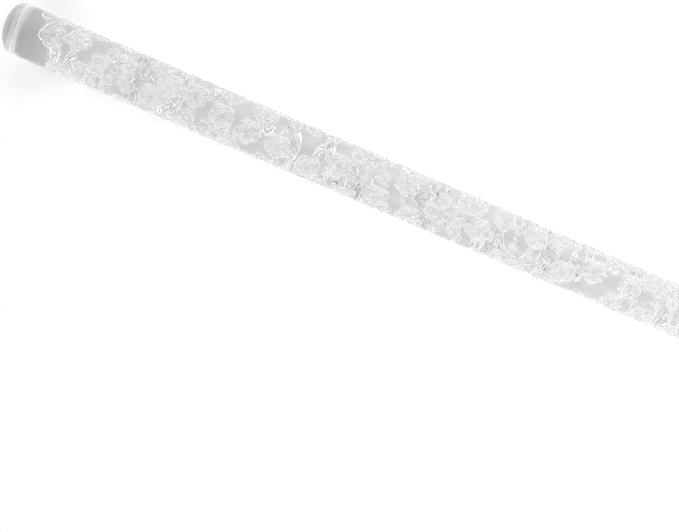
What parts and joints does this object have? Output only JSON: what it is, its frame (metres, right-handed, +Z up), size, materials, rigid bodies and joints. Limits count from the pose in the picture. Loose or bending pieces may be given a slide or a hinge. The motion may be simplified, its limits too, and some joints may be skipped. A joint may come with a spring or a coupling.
{
  "type": "acrylic texture rolling pin",
  "caption": "Solid clear acrylic rolling pin with scattered five-petal blossoms engraved round it, between plain ends with chamfered flat faces.",
  "frame": {"origin": "on the ground under the rod's middle: centre of the bounding box in X and Y, base of the rod in Z", "axes": "+X along the rod's axis, from the end at the picture's left to the other end; +Z up; +Y away from the picture's viewer"},
  "size_m": [0.33, 0.02, 0.02],
  "materials": {
    "clear_acrylic": "polished clear acrylic, engraved"
  },
  "bodies": {
    "root": {"embossing_rod": "clear_acrylic"}
  },
  "joints": []
}
